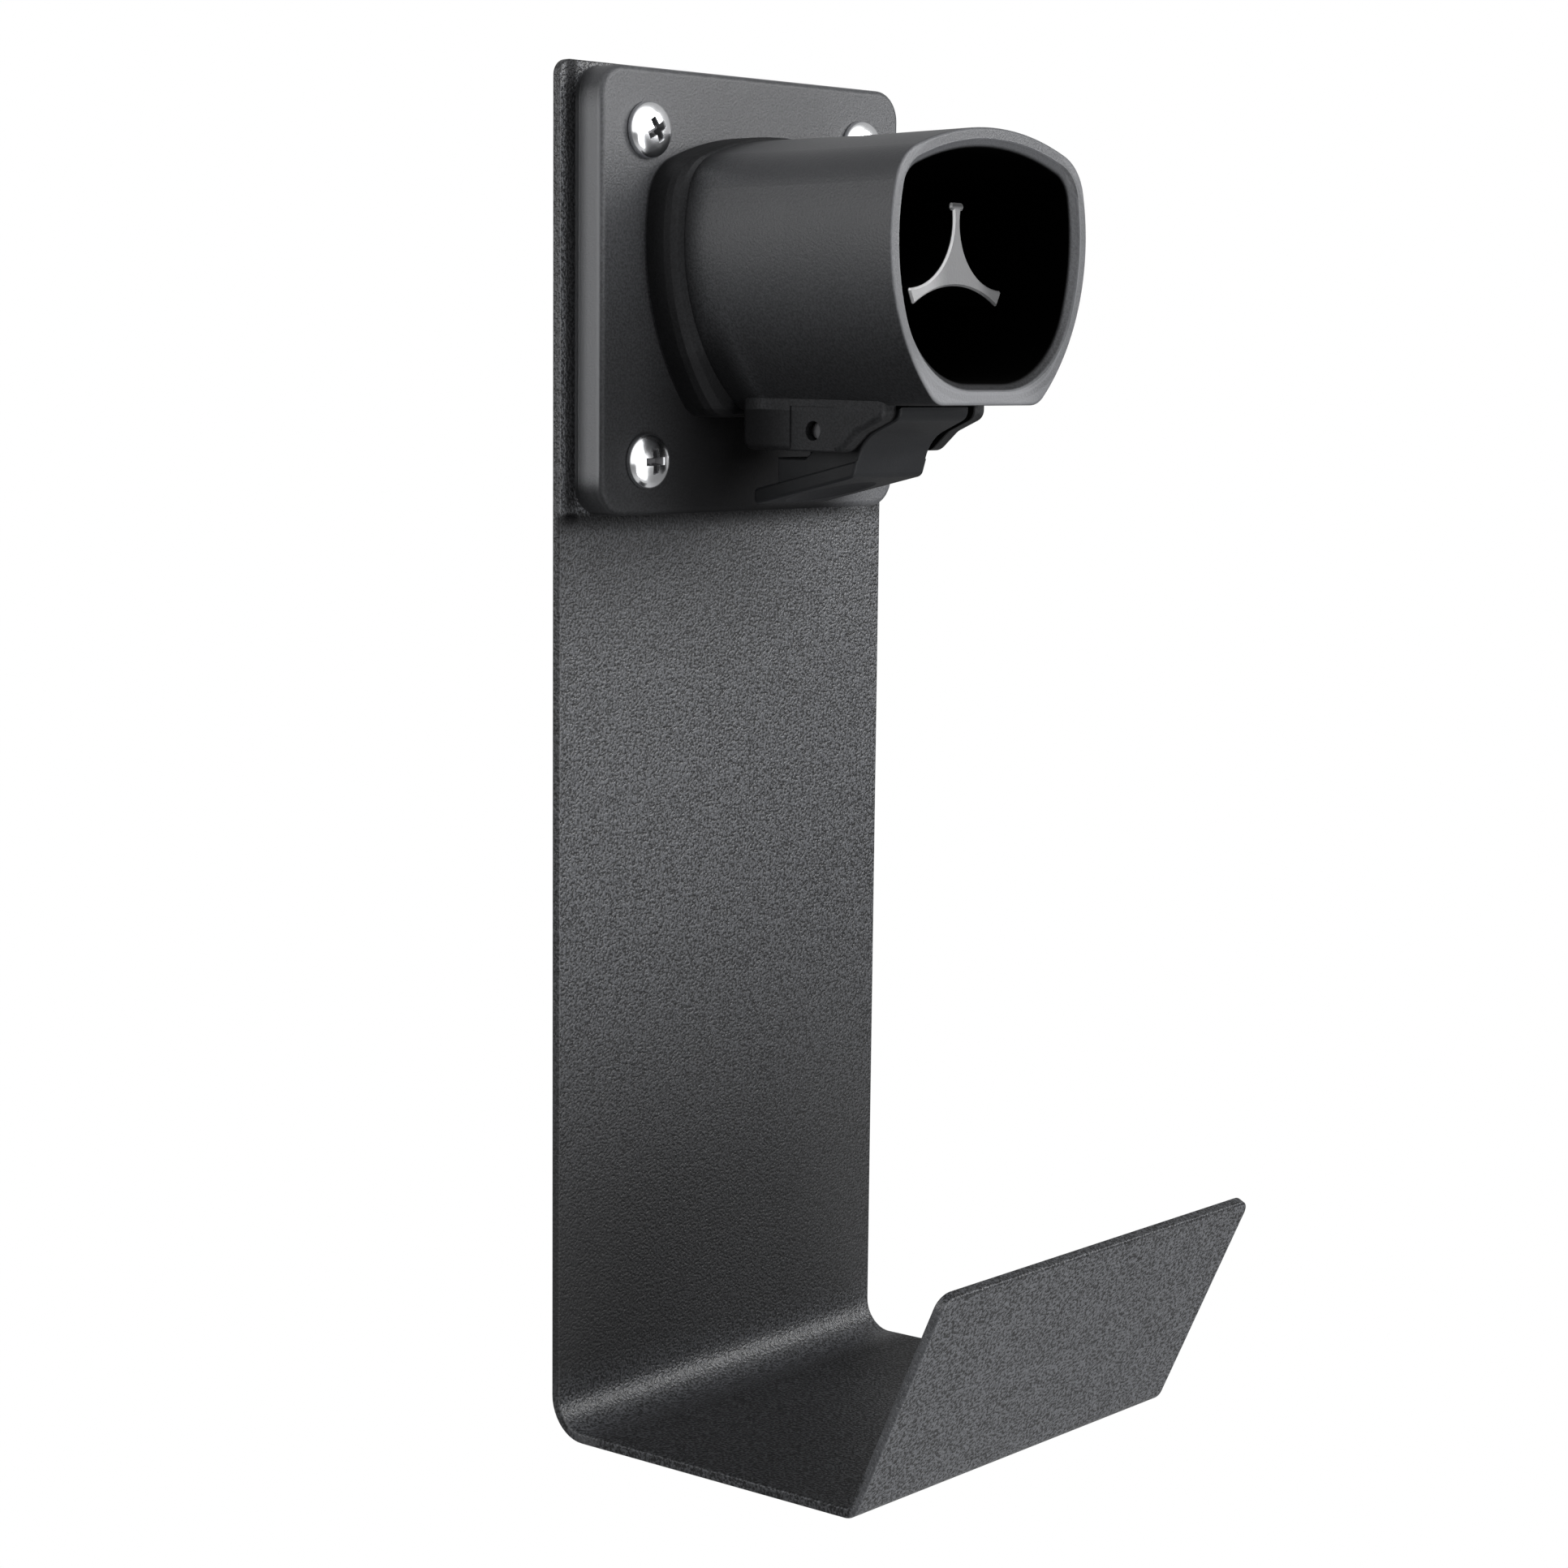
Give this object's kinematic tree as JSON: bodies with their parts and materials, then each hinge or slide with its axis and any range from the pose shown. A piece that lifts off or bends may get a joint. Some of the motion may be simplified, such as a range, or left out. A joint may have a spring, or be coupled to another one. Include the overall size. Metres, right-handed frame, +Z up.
{
  "type": "ev connector holder",
  "caption": "Wall holder for a car charging plug: a folded steel strip with a cable hook, and a moulded socket with a sprung thumb latch that keeps the plug in.",
  "frame": {"origin": "centre of the four wall fixing holes, on the back face of the strip", "axes": "+Y into the wall, +Z up along the strip, +X along the wall to the right of someone who faces the holder; the socket opens towards -Y"},
  "size_m": [0.092, 0.1005, 0.2656],
  "materials": {
    "powder_coated_steel": "black powder coat with a fine sandy texture",
    "dock_plastic": "matt charcoal moulded plastic with a fine grain",
    "lever_plastic": "matt charcoal moulded plastic with a fine grain",
    "pin_steel": "plain stainless pin",
    "spring_steel": "bright spring wire",
    "screw_steel": "polished stainless pan heads"
  },
  "bodies": {
    "root": {"bracket": "powder_coated_steel", "dock_body": "dock_plastic", "latch_pin": "pin_steel", "latch_spring": "spring_steel", "flange_screws": "screw_steel"},
    "lever": {"latch_lever": "lever_plastic"}
  },
  "joints": [
    {"name": "latch_pivot", "type": "hinge", "parent": "root", "child": "lever", "pos_m": [0, -0.0381, -0.0254], "axis": [1, 0, 0], "range_deg": [0, 12], "stiffness_Nm_per_rad": 0.12, "springref_deg": -14.32, "deforming": ["latch_spring"]}
  ]
}
